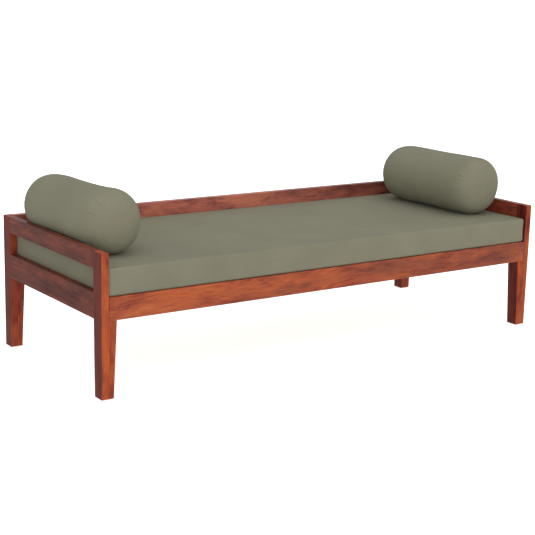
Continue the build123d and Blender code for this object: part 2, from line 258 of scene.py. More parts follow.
# The unpolished wood under the mattress, and the shade in a closed joint.
plain = {
    "Dark": (0.300, 0.170, 0.085, 1.0),
    "Middle": (0.500, 0.320, 0.170, 1.0),
    "Light": (0.600, 0.410, 0.240, 1.0),
    "Streak": (0.660, 0.490, 0.300, 1.0),
}
joint_shadow = (0.020, 0.006, 0.004, 1.0)


def heartwood_and_shade_share(graph, node, grain, heart, board, share):
    """How much of the board takes the heartwood colours, which on the left end rails are painted shade as
    well: its shares at the low and the high end, blended in clouds.
    """
    low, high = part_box(node)
    index = "XYZ".index(grain)
    ends = (low[index] - heart[index], high[index] - heart[index])
    level = graph.spread(graph.split(board)[0], *ends, *share, smooth=False)
    cloud = graph.noise(graph.stretch(board, (3.2, 15.0, 15.0)), detail=3.0, roughness=0.6)
    cloud = graph.spread(cloud, 0.32, 0.68, -0.4, 0.4, smooth=False)
    return graph.math("ADD", level, cloud, clamp=True)


def joint_line(graph, place, axis, distance, width):
    """1 in the fine gap where a board meets the next, at this distance on both sides of the middle."""
    along = graph.math("ABSOLUTE", graph.split(place)["XYZ".index(axis)])
    gap = graph.math("ABSOLUTE", graph.math("SUBTRACT", along, distance))
    return graph.spread(gap, width, 0.3 * width)


def wood_material(
    name,
    node,
    grain,
    heart,
    tints,
    dark_tints=heartwood_and_shade,
    darkness=0.0,
    share=None,
    dark_side=None,
    sheen=0.30,
    joint=None,
):
    """grain is the board's long axis, and heart the place of the tree's middle in metres in the frame.
    share is how much of the board takes the dark tints at its low and its high end: heartwood, and on the
    left end rails painted shade too. The sides that face dark_side take them as painted shade.
    joint is the axis, the distance and the width of the fine gaps where the board meets the next ones."""
    material, graph = new_material(name)
    place = graph.add("TexCoord", {}).outputs
    moved = graph.add("VectorMath", {0: place["Object"], 1: heart}, operation="SUBTRACT").outputs[0]
    x, y, z = graph.split(moved)
    board = graph.join(*{"X": (x, y, z), "Y": (y, x, z), "Z": (z, x, y)}[grain])

    def figure_in(colours):
        figure = graph.add("Group", {"Vector": board}, node_tree=wood_group)
        for label, colour in colours.items():
            figure.inputs[label].default_value = colour
        figure.inputs["Darkness"].default_value = darkness
        return figure.outputs

    figure = figure_in(tints)
    colour = figure["Color"]
    if share or dark_side:
        part = heartwood_and_shade_share(graph, node, grain, heart, board, share) if share else 0.0
        # Painted shade: the sides that face this way take the dark tints, as if they were in shade.
        if dark_side:
            facing = graph.dot(place["Normal"], dark_side)
            part = graph.math("MAXIMUM", part, graph.spread(facing, 0.45, 0.85))
        colour = graph.mix(part, colour, figure_in(dark_tints)["Color"])
    # Painted highlight: the rounded edges of the wood are lightened towards the streak colour.
    at_edge = graph.math("MULTIPLY", graph.edge_wear_and_highlight(2.2 * mm, 0.86, 0.995), 0.30)
    colour = graph.mix(at_edge, colour, tints["Streak"])
    if joint:
        line = graph.math("MULTIPLY", joint_line(graph, place["Object"], *joint), 0.75)
        colour = graph.mix(line, colour, joint_shadow)

    shader = graph.add(
        "BsdfPrincipled",
        {
            "Base Color": colour,
            "Roughness": figure["Roughness"],
            "Normal": graph.bump(figure["Height"], 0.12 * mm, 0.6),
        },
    )
    shader.inputs["Specular IOR Level"].default_value = sheen
    shader.inputs["Coat Weight"].default_value = sheen / 3
    shader.inputs["Coat Roughness"].default_value = 0.25
    finish_material(graph, shader)
    return material


# How far from the tree's heart the boards are cut, in metres.
heart_distance = 0.09


def middle(node):
    low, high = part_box(node)
    return (low + high) / 2


def dress(node, material):
    """Gives a CAD node this material in every slot."""
    mesh = nodes[node].data
    if not mesh.materials:
        mesh.materials.append(material)
    for index in range(len(mesh.materials)):
        mesh.materials[index] = material


def dress_board(node, grain, tints, **looks):
    """Cuts the board from a place of its own in a tree."""
    angle = draw.uniform(0, 2 * math.pi)
    away = heart_distance * draw.uniform(0.8, 1.3)
    side = (away * math.cos(angle), away * math.sin(angle))
    along = draw.uniform(2.0, 9.0)
    offset = {
        "X": (along, *side),
        "Y": (side[0], along, side[1]),
        "Z": (*side, along),
    }[grain]
    heart = middle(node) + Vector(offset)
    dress(node, wood_material("wood_" + node, node, grain, heart, tints, **looks))


# The way that the legs' sides with painted shade face.
painted_shade_facing = (-1.0, 0.0, 0.0)
joint_gap = 1.6 * mm
shoulder_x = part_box("end_upper_rail_right")[0].x
# Each polished board: its grain, its darkness, its shares of heartwood, and how much it shines. On the left
# end rails the heartwood is partly painted shade.
frame_boards = {
    "leg_front_left": ("Z", 0.00, None, 0.10),
    "leg_front_right": ("Z", 0.03, (0.25, 0.05), 0.08),
    "leg_rear_left": ("Z", 0.02, (0.55, 0.55), 0.10),
    "leg_rear_right": ("Z", 0.04, (0.4, 0.3), 0.10),
    "front_seat_rail": ("X", -0.03, (0.02, 0.42), 0.24),
    "rear_seat_rail": ("X", 0.00, (0.2, 0.2), 0.28),
    "back_top_rail": ("X", 0.01, (-2.00, 1.20), 0.36),
    # Painted shade: the left end rails take the heartwood colours almost whole, darker for the shade on the
    # left side.
    "end_lower_rail_left": ("Y", -0.01, (0.95, 1.05), 0.10),
    "end_lower_rail_right": ("Y", 0.02, (0.5, 0.5), 0.28),
    "end_upper_rail_left": ("Y", -0.01, (1.15, 0.90), 0.12),
    "end_upper_rail_right": ("Y", 0.01, (0.6, 0.4), 0.30),
}
for node, (grain, darkness, share, sheen) in frame_boards.items():
    looks = {"darkness": darkness, "share": share, "sheen": sheen}
    if node.startswith("leg"):
        # Painted shade on the legs' sides that face left.
        looks.update(dark_side=painted_shade_facing, dark_tints=painted_leg_shade)
    elif grain == "X":
        looks.update(joint=("X", shoulder_x, joint_gap))
    dress_board(node, grain, rosy if node == "back_top_rail" else polished, **looks)

seat_boards = {"ledger_front": "X", "ledger_rear": "X", "cross_rail": "Y", "cross_rail_dowels": "Y"}
slats = [node for node in sorted(nodes) if node.startswith("slat_") and node != "slat_screws"]
seat_boards.update({node: "Y" for node in slats})
for node, grain in seat_boards.items():
    dress_board(node, grain, plain, darkness=draw.uniform(-0.05, 0.05))


# ---------------------------------------------------------------- metal and plastic


def metal_material(name, dull, bright, rough, brush):
    """Brushed or plated metal, with smudges and a lighter rub along its edges. rough is its least and
    its most roughness, and brush how fine the scratches are along each axis."""
    material, graph = new_material(name)
    vector = object_coordinates(graph)
    smudge = graph.noise(graph.stretch(vector, (140.0, 140.0, 140.0)), detail=4.0, roughness=0.6)
    scratches = graph.noise(graph.stretch(vector, brush), detail=2.0)
    tone = graph.blend_sum((smudge, 0.6), (scratches, 0.4))
    colour = graph.ramp(tone, [(0.3, dull), (0.7, bright)])
    at_edge = graph.math("MULTIPLY", graph.edge_wear_and_highlight(0.5 * mm, 0.85, 0.99), 0.5)
    colour = graph.mix(at_edge, colour, (*bright, 1.0))
    shader = graph.add(
        "BsdfPrincipled",
        {
            "Base Color": colour,
            "Roughness": graph.spread(tone, 0.3, 0.7, rough[1], rough[0]),
            "Normal": graph.bump(scratches, 0.03 * mm, 0.5),
        },
    )
    shader.inputs["Metallic"].default_value = 1.0
    finish_material(graph, shader)
    return material


def nylon_material():
    """Dark moulded plastic, with fine grain and scuffs."""
    material, graph = new_material("glide_nylon")
    vector = object_coordinates(graph)
    grain = graph.noise(graph.stretch(vector, (2200.0, 2200.0, 2200.0)), detail=2.0)
    scuffs = graph.noise(graph.stretch(vector, (120.0, 420.0, 120.0)), detail=4.0, roughness=0.7)
    colour = graph.ramp(scuffs, [(0.35, (0.045, 0.038, 0.034)), (0.72, (0.12, 0.105, 0.095))])
    shader = graph.add(
        "BsdfPrincipled",
        {
            "Base Color": colour,
            "Roughness": graph.spread(scuffs, 0.3, 0.75, 0.42, 0.66),
            "Normal": graph.bump(grain, 0.04 * mm, 0.5),
        },
    )
    finish_material(graph, shader)
    return material


zinc = metal_material(
    "zinc_plated_steel",
    dull=(0.42, 0.42, 0.43),
    bright=(0.72, 0.72, 0.70),
    rough=(0.28, 0.44),
    brush=(900.0, 900.0, 60.0),
)
brass = metal_material(
    "insert_brass",
    dull=(0.46, 0.31, 0.12),
    bright=(0.78, 0.60, 0.30),
    rough=(0.24, 0.42),
    brush=(700.0, 90.0, 700.0),
)
bronze = metal_material(
    "zip_slider_metal",
    dull=(0.10, 0.092, 0.068),
    bright=(0.24, 0.22, 0.17),
    rough=(0.34, 0.5),
    brush=(600.0, 600.0, 600.0),
)
for node in ("rail_bolts", "rail_bolt_washers", "slat_screws", "ledger_screws"):
    dress(node, zinc)
dress("rail_inserts", brass)
dress("foot_glides", nylon_material())
for node in ("mattress_zip_slider", "bolster_left_zip_slider", "bolster_right_zip_slider"):
    dress(node, bronze)


# ---------------------------------------------------------------- fabric

thread_pitch = 0.9 * mm


def make_weave_group():
    """Plain weave with slubs, laid on each side of the piece by the way the surface faces."""
    graph, given, result = new_group(
        "plain_weave",
        [("Vector", "NodeSocketVector"), ("Normal", "NodeSocketVector")],
        [("Height", "NodeSocketFloat"), ("Slub", "NodeSocketFloat"), ("Cloud", "NodeSocketFloat")],
    )
    x, y, z = [graph.waves(part, thread_pitch) for part in graph.split(given["Vector"])]
    facing = graph.add("VectorMath", {0: given["Normal"]}, operation="ABSOLUTE").outputs[0]
    face_x, face_y, face_z = graph.split(facing)

    def woven(first, second, faced):
        """Two sets of threads, on the sides that face along the third axis."""
        threads = graph.math("MULTIPLY", first, second)
        return graph.math("MULTIPLY", threads, graph.math("POWER", faced, 2.0))

    weave = graph.math("ADD", woven(x, y, face_z), woven(x, z, face_y))
    weave = graph.math("ADD", weave, woven(y, z, face_x))
    warp = graph.noise(graph.stretch(given["Vector"], (24.0, 520.0, 520.0)), detail=2.0, roughness=0.6)
    weft = graph.noise(graph.stretch(given["Vector"], (520.0, 24.0, 400.0)), detail=2.0, roughness=0.6)
    slub = graph.math("MULTIPLY", graph.math("ADD", warp, weft), 0.5)
    cloud = graph.noise(graph.stretch(given["Vector"], (5.0, 5.0, 5.0)), detail=3.0, roughness=0.55)
    height = graph.blend_sum((weave, 0.5), (slub, 1.2))
    graph.tree.links.new(height, result["Height"])
    graph.tree.links.new(slub, result["Slub"])
    graph.tree.links.new(cloud, result["Cloud"])
    return graph.tree


weave_group = make_weave_group()


def cloth_material(name, shade, light, bump):
    """Matt cloth with woven threads, slubs and faint cloudy fading between shade and light."""
    material, graph = new_material(name)
    place = graph.add("TexCoord", {})
    weave = graph.add("Group", {}, node_tree=weave_group)
    graph.tree.links.new(place.outputs["Object"], weave.inputs["Vector"])
    graph.tree.links.new(place.outputs["Normal"], weave.inputs["Normal"])
    slub, cloud = weave.outputs["Slub"], weave.outputs["Cloud"]
    tone = graph.blend_sum((slub, 0.55), (cloud, 0.45))
    colour = graph.ramp(tone, [(0.36, shade), (0.64, light)])
    shader = graph.add(
        "BsdfPrincipled",
        {
            "Base Color": colour,
            "Roughness": graph.spread(slub, 0.3, 0.7, 0.84, 0.95),
            "Normal": graph.bump(weave.outputs["Height"], bump, 0.7),
        },
    )
    shader.inputs["Specular IOR Level"].default_value = 0.12
    shader.inputs["Sheen Weight"].default_value = 0.04
    shader.inputs["Sheen Roughness"].default_value = 0.5
    finish_material(graph, shader)
    return material


cover_cloth = cloth_material("sage_cotton", (0.200, 0.192, 0.134), (0.238, 0.229, 0.160), 0.16 * mm)
foam_cloth = cloth_material("foam", (0.740, 0.690, 0.560), (0.840, 0.800, 0.670), 0.3 * mm)
filling_cloth = cloth_material("bolster_filling", (0.760, 0.760, 0.740), (0.880, 0.880, 0.860), 0.4 * mm)
dress("mattress_core", foam_cloth)
for side in ("left", "right"):
    dress(f"bolster_{side}_insert", filling_cloth)


# ---------------------------------------------------------------- zips

# Half the width of the slots that the zips lie in, and how far below level a bolster's zip is.
zip_half = 4.7 * mm
zip_below = math.radians(50)
# The teeth, the rows of stitches along the tape, and the ribs across it in radians per metre.
tooth_pitch = 1.5 * mm
stitch_pitch = 2.6 * mm
stitch_row_place = 3.9 * mm
tape_ribs = 9000.0


def zip_material(name, centre, along, across):
    """Tape with a coil of teeth down its middle, which runs through centre. along and across are
    directions in the object."""
    material, graph = new_material(name)
    place = object_coordinates(graph)
    run = graph.dot(place, along)
    from_centre = graph.add("VectorMath", {0: place, 1: centre}, operation="SUBTRACT").outputs[0]
    off = graph.dot(from_centre, across)
    away = graph.math("ABSOLUTE", off)
    coil = graph.spread(away, 2.1 * mm, 1.7 * mm)
    # The teeth of the two halves meet in the middle, half a pitch apart.
    flip = graph.spread(off, -0.2 * mm, 0.2 * mm, -1.0, 1.0)
    teeth = graph.math("MULTIPLY", graph.waves(run, tooth_pitch), flip)
    tooth = graph.math("MULTIPLY", teeth, coil)
    slant = graph.math("ADD", run, graph.math("MULTIPLY", away, 0.8))
    rib = graph.math("SINE", graph.math("MULTIPLY", slant, tape_ribs))
    from_row = graph.math("ABSOLUTE", graph.math("SUBTRACT", away, stitch_row_place))
    dashes = graph.spread(graph.waves(run, stitch_pitch), -0.5, 0.1)
    stitch = graph.math("MULTIPLY", graph.spread(from_row, 0.45 * mm, 0.25 * mm), dashes)
    fuzz = graph.noise(graph.stretch(place, (900.0, 900.0, 900.0)), detail=2.0)

    colour = graph.ramp(fuzz, [(0.35, (0.125, 0.120, 0.080)), (0.65, (0.165, 0.160, 0.112))])
    colour = graph.mix(coil, colour, (0.115, 0.110, 0.078, 1.0))
    tooth_top = graph.math("MULTIPLY", graph.spread(tooth, -0.2, 0.7), 0.75)
    colour = graph.mix(tooth_top, colour, (0.300, 0.290, 0.215, 1.0))
    colour = graph.mix(graph.math("MULTIPLY", stitch, 0.8), colour, (0.270, 0.260, 0.185, 1.0))
    height = graph.blend_sum((tooth, 1.0), (rib, 0.12), (stitch, 0.6))
    shader = graph.add(
        "BsdfPrincipled",
        {
            "Base Color": colour,
            "Roughness": graph.spread(coil, 0.0, 1.0, 0.85, 0.45),
            "Normal": graph.bump(height, 0.35 * mm, 0.9),
        },
    )
    finish_material(graph, shader)
    return material


def zip_directions(side):
    """The way across a bolster's zip, and the way out through it, in x and z."""
    outer = -1 if side == "left" else 1
    across = Vector((outer * math.sin(zip_below), math.cos(zip_below)))
    out = Vector((outer * math.cos(zip_below), -math.sin(zip_below)))
    return across, out


mattress_zip_low, mattress_zip_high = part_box("mattress_zip")
mattress_tape = zip_material(
    "mattress_zip_tape",
    middle("mattress_zip"),
    along=(1.0, 0.0, 0.0),
    across=(0.0, 0.0, 1.0),
)
dress("mattress_zip", mattress_tape)
for side in ("left", "right"):
    zip_across = zip_directions(side)[0]
    tape = zip_material(
        f"bolster_{side}_zip_tape",
        middle(f"bolster_{side}_cover"),
        along=(0.0, 1.0, 0.0),
        across=(zip_across[0], 0.0, zip_across[1]),
    )
    dress(f"bolster_{side}_zip", tape)


# ---------------------------------------------------------------- soft pieces

# How hard and for how many frames the covers are blown up.
cover_pressure = 4.0
swell_frames = 20


def new_piece(name, points, faces, material, body):
    """A smooth piece of one material that moves with this body."""
    mesh = bpy.data.meshes.new(name)
    mesh.from_pydata([tuple(p) for p in points], [], faces)
    shell = bmesh.new()
    shell.from_mesh(mesh)
    bmesh.ops.recalc_face_normals(shell, faces=shell.faces)
    shell.to_mesh(mesh)
    shell.free()
    mesh.polygons.foreach_set("use_smooth", [True] * len(mesh.polygons))
    mesh.materials.append(material)
    piece = bpy.data.objects.new(name, mesh)
    bpy.context.scene.collection.objects.link(piece)
    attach(piece, body)
    return piece


def smooth(value):
    """Eases from 0 to 1 while value does."""
    value = min(max(value, 0.0), 1.0)
    return value * value * (3 - 2 * value)


def inflate(piece, pinned, pressure, cap, rise=1.0):
    """Blows the piece up as cloth that is held at the pinned points. No point moves further than cap,
    and only the rise share of its upward move is kept."""
    scene = bpy.context.scene
    piece.vertex_groups.new(name="pinned").add(pinned, 1.0, "REPLACE")
    cloth = piece.modifiers.new("cloth", "CLOTH")
    cloth.settings.quality = 5
    cloth.settings.mass = 0.3
    cloth.settings.tension_stiffness = 12
    cloth.settings.compression_stiffness = 12
    cloth.settings.shear_stiffness = 4
    cloth.settings.bending_stiffness = 0.6
    cloth.settings.use_pressure = True
    cloth.settings.uniform_pressure_force = pressure
    cloth.settings.vertex_group_mass = "pinned"
    cloth.settings.effector_weights.gravity = 0
    cloth.collision_settings.use_collision = False
    cloth.point_cache.frame_start = 1
    cloth.point_cache.frame_end = swell_frames
    for number in range(1, swell_frames + 1):
        scene.frame_set(number)
    swollen = piece.evaluated_get(bpy.context.evaluated_depsgraph_get())
    places = [v.co.copy() for v in swollen.data.vertices]
    piece.modifiers.clear()
    piece.vertex_groups.clear()
    scene.frame_set(1)
    for vertex, place in zip(piece.data.vertices, places):
        move = place - vertex.co
        if move.length > cap:
            move *= cap / move.length
        move.z *= rise
        vertex.co += move


def subdivide(piece):
    """Makes the mesh four times as fine, along its own curves."""
    piece.modifiers.new("finer", "SUBSURF").levels = 1
    finer = piece.evaluated_get(bpy.context.evaluated_depsgraph_get())
    mesh = bpy.data.meshes.new_from_object(finer)
    piece.modifiers.clear()
    mesh.name = piece.name
    piece.data = mesh


# ---------------------------------------------------------------- mattress


def cuts(low, high, fine, step):
    """Grid lines from low to high, close together within a few millimetres of both ends."""
    near = [low + f for f in fine]
    far = [high - f for f in reversed(fine)]
    start, end = near[-1], far[0]
    count = max(1, round((end - start) / step))
    inside = [start + (end - start) * i / count for i in range(1, count)]
    return near + inside + far


def box_shell(xs, ys, zs):
    """A closed box of quads with these grid lines. Returns its points and faces."""
    index, points, faces = {}, [], []

    def point(i, j, k):
        if (i, j, k) not in index:
            index[i, j, k] = len(points)
            points.append(Vector((xs[i], ys[j], zs[k])))
        return index[i, j, k]

    last_x, last_y, last_z = len(xs) - 1, len(ys) - 1, len(zs) - 1
    for i in range(last_x):
        for j in range(last_y):
            for k, turn in ((0, -1), (last_z, 1)):
                quad = [point(i, j, k), point(i + 1, j, k), point(i + 1, j + 1, k), point(i, j + 1, k)]
                faces.append(quad[::turn])
    for i in range(last_x):
        for k in range(last_z):
            for j, turn in ((0, 1), (last_y, -1)):
                quad = [point(i, j, k), point(i + 1, j, k), point(i + 1, j, k + 1), point(i, j, k + 1)]
                faces.append(quad[::turn])
    for j in range(last_y):
        for k in range(last_z):
            for i, turn in ((0, -1), (last_x, 1)):
                quad = [point(i, j, k), point(i, j + 1, k), point(i, j + 1, k + 1), point(i, j, k + 1)]
                faces.append(quad[::turn])
    return points, faces


mattress_corner = 12 * mm
mattress_edge = 8 * mm
mattress_swell = 2.6 * mm
seam_depth = 1.0 * mm
seam_width = 1.9 * mm
# How near the seams the cover is held, and how deep it waves and ripples where it is loose.
hold_width = 10 * mm
wave_depth = 0.6 * mm
ripple_depth = 0.7 * mm
# The slot for the zip in the back face, and the two lips that lead down to it.
slot_depth = 5.5 * mm
lip_depth = 2.4 * mm
lip_reach = 9.5 * mm
lip_ease = 3.5 * mm
# The soft mattress fills the frame: its seams lie against the end rails and the back rail.
cover_low, cover_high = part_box("mattress_cover")
mattress_low = cover_low + Vector((-1.8, 0.6, 0.1)) * mm
mattress_high = cover_high + Vector((1.8, 2.9, -0.5)) * mm
mattress_centre = (mattress_low + mattress_high) / 2
mattress_half = (mattress_high - mattress_low) / 2
mattress_inner = Vector((mattress_half.x - mattress_corner, mattress_half.y - mattress_corner))
# Height of the zip's middle above the mattress's middle.
mattress_zip_z = middle("mattress_zip").z - mattress_centre.z


def closer(lines, place, clear, steps):
    """The grid lines, with lines at these steps in mm about a place, in place of those within clear."""
    kept = [line for line in lines if abs(line - place) > clear]
    return sorted(kept + [place + step * mm for step in steps])


def mattress_grid():
    """Grid lines about the mattress's middle, closer by its edges and by its zip."""
    half = mattress_half
    fine = [d * mm for d in (0, 2, 4, 5.5, 7, 9, 12, 17, 24)]
    xs = cuts(-half.x, half.x, fine, 24 * mm)
    ys = cuts(-half.y, half.y, fine, 22 * mm)
    zs = cuts(-half.z, half.z, fine[:7], 12 * mm)
    zs = closer(zs, mattress_zip_z, 16 * mm, (-14, -9, -7, -5, -2, 2, 5, 7, 9, 14))
    for end in (mattress_zip_low.x, mattress_zip_high.x):
        xs = closer(xs, end - mattress_centre.x, 10 * mm, (-8, -2, 0, 2, 8))
    return xs, ys, zs


def held(p):
    """Whether the cover can't swell at this point: along its seams, and where it lies on the slats."""
    from_side = min(mattress_half.x - abs(p.x), mattress_half.y - abs(p.y))
    from_panel = mattress_half.z - abs(p.z)
    underneath = p.z < -mattress_half.z + 1 * mm
    return from_side < hold_width and from_panel < hold_width or underneath


def nearest_side(p):
    """How deep a point of the box is inside its upright sides, and the way out to the nearest one."""
    out = Vector((max(abs(p.x) - mattress_inner.x, 0.0), max(abs(p.y) - mattress_inner.y, 0.0)))
    if out.length > 0:
        way = Vector((math.copysign(out.x, p.x), math.copysign(out.y, p.y))).normalized()
        return mattress_corner - out.length, way
    depth_x, depth_y = mattress_half.x - abs(p.x), mattress_half.y - abs(p.y)
    if depth_y < depth_x:
        return depth_y, Vector((0.0, math.copysign(1.0, p.y)))
    return depth_x, Vector((math.copysign(1.0, p.x), 0.0))


def round_edges(p):
    """Moves a point of the box on to its rounded corners and edges. The seam that joins the side band
    to the panel is a groove round the middle of each rounded edge."""
    dx, dy = abs(p.x) - mattress_inner.x, abs(p.y) - mattress_inner.y
    if dx > 0 and dy > 0:
        ease = max(dx, dy) / math.hypot(dx, dy)
        p.x = math.copysign(mattress_inner.x + dx * ease, p.x)
        p.y = math.copysign(mattress_inner.y + dy * ease, p.y)
    depth, way = nearest_side(p)
    rise = abs(p.z) - (mattress_half.z - mattress_edge)
    reach = mattress_edge - depth
    if rise <= 0 or reach <= 0:
        return
    ease = max(reach, rise) / math.hypot(reach, rise)
    from_seam = (math.atan2(rise, reach) - math.pi / 4) * mattress_edge
    # The groove goes in along the diagonal, so this much of it goes each way.
    groove = 0.7 * seam_depth * math.exp(-((from_seam / seam_width) ** 2))
    lie = reach * (ease - 1) - groove
    p.x += way.x * lie
    p.y += way.y * lie
    p.z = math.copysign(mattress_half.z - mattress_edge + rise * ease - groove, p.z)


def loosen(p):
    """Adds faint waves where the cover lies loose on the foam, and keeps it within its space."""
    wave = noise.noise(Vector((p.x * 3.1, p.y * 5.0, 1.7)))
    wave += 0.5 * noise.noise(Vector((p.x * 9.0, p.y * 12.0, 4.2)))
    p.z -= wave_depth * max(wave, 0.0) * smooth((p.z - mattress_centre.z) / mattress_half.z)
    ripple = noise.noise(Vector((p.x * 13.0, p.y * 13.0, p.z * 22.0)))
    off = p.y - mattress_centre.y
    side = smooth((abs(off) - mattress_half.y + 6 * mm) / (6 * mm))
    p.y -= math.copysign(ripple_depth, off) * max(ripple, 0.0) * side
    p.z = max(p.z, mattress_low.z)
    p.x = min(max(p.x, mattress_low.x), mattress_high.x)
    p.y = min(p.y, mattress_high.y)


def sink_to_zip(p):
    """The zip lies in a slot, between two lips of the back face."""
    from_zip = abs(p.z - mattress_centre.z - mattress_zip_z)
    beside = mattress_zip_low.x < p.x < mattress_zip_high.x
    if p.y <= mattress_centre.y or not beside or from_zip >= lip_reach:
        return
    depth = smooth((lip_reach - from_zip) / lip_ease) * lip_depth
    if from_zip < zip_half + 0.6 * mm:
        depth = slot_depth
    p.y = min(p.y, mattress_high.y - depth)


def make_mattress():
    points, faces = box_shell(*mattress_grid())
    pinned = [index for index, p in enumerate(points) if held(p)]
    for p in points:
        round_edges(p)
    points = [p + mattress_centre for p in points]
    piece = new_piece("mattress_soft", points, faces, cover_cloth, "mattress")
    inflate(piece, pinned, cover_pressure, mattress_swell, rise=0.4)
    subdivide(piece)
    for vertex in piece.data.vertices:
        loosen(vertex.co)
        sink_to_zip(vertex.co)
    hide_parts("mattress_cover", "mattress_core")


make_mattress()


# ---------------------------------------------------------------- bolsters

# The flat underside of a bolster, and how far its round form would reach below it.
contact = 451.0 * mm
bolster_sink = 3.8 * mm
bolster_swell = 3.5 * mm
# Height over which the lumps and folds fade out by the mattress.
fade_height = 22 * mm
# Place of the end seams, as a share of the half length, and the groove along them.
seam_place = 0.945
seam_reach = 2.2 * mm
seam_sink = 1.2 * mm
# Small gathers round each end.
gathers_per_end = 22
# The cover's surface by the zip, over the CAD form; its lips; and the slot between them.
zip_level = 0.5 * mm
zip_lip_height = 0.9 * mm
zip_lip_width = 5 * mm
zip_slot_depth = 4.5 * mm
# How far off the zip draws the cover in, and how gently, across it and past its ends.
draw_across, ease_across = 45 * mm, 34 * mm
draw_past, ease_past = 35 * mm, 30 * mm
rail_gap = 0.6 * mm
end_rails = {side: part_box(f"end_upper_rail_{side}") for side in ("left", "right")}
bolster_looks = {
    # x, y, radius, spread of radius towards the ends, half length, power of the outline, turn in radians
    "left": (-855.5, 22.2, 114.0, 0.040, 283.0, 8.1, -0.034),
    "right": (841.4, 14.3, 119.3, 0.030, 282.0, 9.0, -0.008),
}
# The deepest gathers by the front seam: angle in degrees, share of the half length, length and depth in mm.
front_gathers = {
    "left": [(131, -0.86, 24, 3.6), (156, -0.85, 20, 2.3), (104, -0.88, 14, 1.8)],
    "right": [
        (131, -0.87, 18, 1.9),
        (153, -0.83, 14, 2.6),
        (171, -0.85, 20, 1.8),
        (186, -0.81, 24, 1.2),
    ],
}
# How the filling has shifted along the top: share of the half length, reach and height in mm.
top_lumps = {
    "left": [(-0.74, 0.18, 7.5), (-0.12, 0.30, -1.0)],
    "right": [(-0.86, 0.14, 7.0)],
}


class Bolster:
    """Place, size and directions of one bolster, and the place of its zip, in metres."""

    def __init__(self, side):
        x, y, radius, spread, half, power, turn = bolster_looks[side]
        self.side = side
        self.outer = -1 if side == "left" else 1
        self.radius, self.half = radius * mm, half * mm
        self.spread, self.power = spread, power
        self.centre = Vector((x * mm, y * mm, contact - bolster_sink + self.radius))
        self.axis = Vector((math.sin(turn), math.cos(turn), 0.0))
        self.across = Vector((math.cos(turn), -math.sin(turn), 0.0))
        cad_low, cad_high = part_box(f"bolster_{side}_cover")
        self.cad_middle = (cad_low + cad_high) / 2
        self.cad_radius = (cad_high.x - cad_low.x) / 2
        self.zip_across, self.zip_out = zip_directions(side)
        zip_low, zip_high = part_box(f"bolster_{side}_zip")
        self.zip_y, self.zip_reach = (zip_low.y + zip_high.y) / 2, (zip_high.y - zip_low.y) / 2


def outline(power, count):
    """Even steps along a bolster's outline from its front tip to its rear tip, as shares of its half
    length and its radius."""
    half_length, radius = 281, 116
    rough = []
    for i in range(4001):
        s = math.sin(math.pi / 2 * i / 4000)
        rough.append((s, (1 - s**power) ** (1 / 2.2)))
    lengths = [0.0]
    for (s0, r0), (s1, r1) in zip(rough, rough[1:]):
        lengths.append(lengths[-1] + math.hypot((s1 - s0) * half_length, (r1 - r0) * radius))
    half, j = [], 0
    for i in range(count):
        while lengths[j] < lengths[-1] * i / count:
            j += 1
        half.append(rough[j])
    return [(-s, r) for s, r in reversed(half[1:])] + half


def steps_round(bolster):
    """Angles of even steps round the bolster, and closer ones along the zip."""
    zip_x = bolster.cad_middle.x + bolster.zip_out.x * bolster.cad_radius
    zip_z = bolster.cad_middle.z + bolster.zip_out.y * bolster.cad_radius
    zip_angle = math.degrees(math.atan2(zip_z - bolster.centre.z, zip_x - bolster.centre.x)) % 360
    degrees = [360 * k / 112 for k in range(112)]
    degrees = [d for d in degrees if abs(d - zip_angle) > 9.5] + [zip_angle + d for d in range(-8, 9)]
    return [math.radians(d) for d in sorted(degrees)]


def bolster_shell(bolster):
    """A round shell with a flat underside. Returns its points, its faces, and the points that the
    mattress and the seams hold."""
    stations = outline(bolster.power, 56)
    angles = steps_round(bolster)
    around = len(angles)
    points, faces, pinned = [], [], []
    for s, r in stations:
        for angle in angles:
            size = bolster.radius * r * (1 + bolster.spread * s * s)
            p = bolster.centre + bolster.across * (size * math.cos(angle))
            p += bolster.axis * (s * bolster.half)
            p.z += size * math.sin(angle)
            if p.z < contact:
                p.z = contact
                pinned.append(len(points))
            points.append(p)
    tips = (len(points), len(points) + 1)
    points.append(bolster.centre - bolster.axis * bolster.half)
    points.append(bolster.centre + bolster.axis * bolster.half)
    last = (len(stations) - 1) * around
    for i in range(len(stations) - 1):
        for k in range(around):
            a, b = i * around + k, i * around + (k + 1) % around
            faces.append((a, b, b + around, a + around))
    for k in range(around):
        following = (k + 1) % around
        faces.append((tips[0], k, following))
        faces.append((tips[1], last + following, last + k))
    for seam in (-seam_place, seam_place):
        ring = min(range(len(stations)), key=lambda i: abs(stations[i][0] - seam))
        pinned += [ring * around + k for k in range(around)]
    return points, faces, pinned


def gathers_of(side):
    """Every gather of one bolster: angle, share of the half length, length, depth and width in metres."""
    chance = random.Random(11 if side == "left" else 12)
    found = []
    for degrees, place, length, depth in front_gathers[side]:
        found.append((math.radians(degrees), place, length * mm, depth * mm, 3.4 * mm))
    for end in (-1, 1):
        for k in range(gathers_per_end):
            angle = 2 * math.pi * (k + chance.uniform(-0.35, 0.35)) / gathers_per_end
            place = end * chance.uniform(0.86, 0.91)
            length = chance.uniform(10, 22) * mm
            depth = chance.uniform(0.15, 0.75) * mm
            width = chance.uniform(3.0, 5.0) * mm
            found.append((angle, place, length, depth, width))
    return found


def gather_depth(bolster, gathers, along, angle, size):
    """How far the gathers draw the cover in, at this place along and round the bolster."""
    total = 0.0
    for turned, place, length, depth, width in gathers:
        gap = (along - place * bolster.half) / length
        if abs(gap) > 2.2:
            continue
        slide = (angle - turned + math.pi) % (2 * math.pi) - math.pi
        off = slide * max(size, 40 * mm) / width
        if abs(off) > 4.5:
            continue
        # Each fold has a low swell on both sides.
        fold = math.exp(-(off**2)) - 0.42 * math.exp(-(((abs(off) - 2.0) / 1.1) ** 2))
        total += depth * fold * math.exp(-(gap**2))
    return total


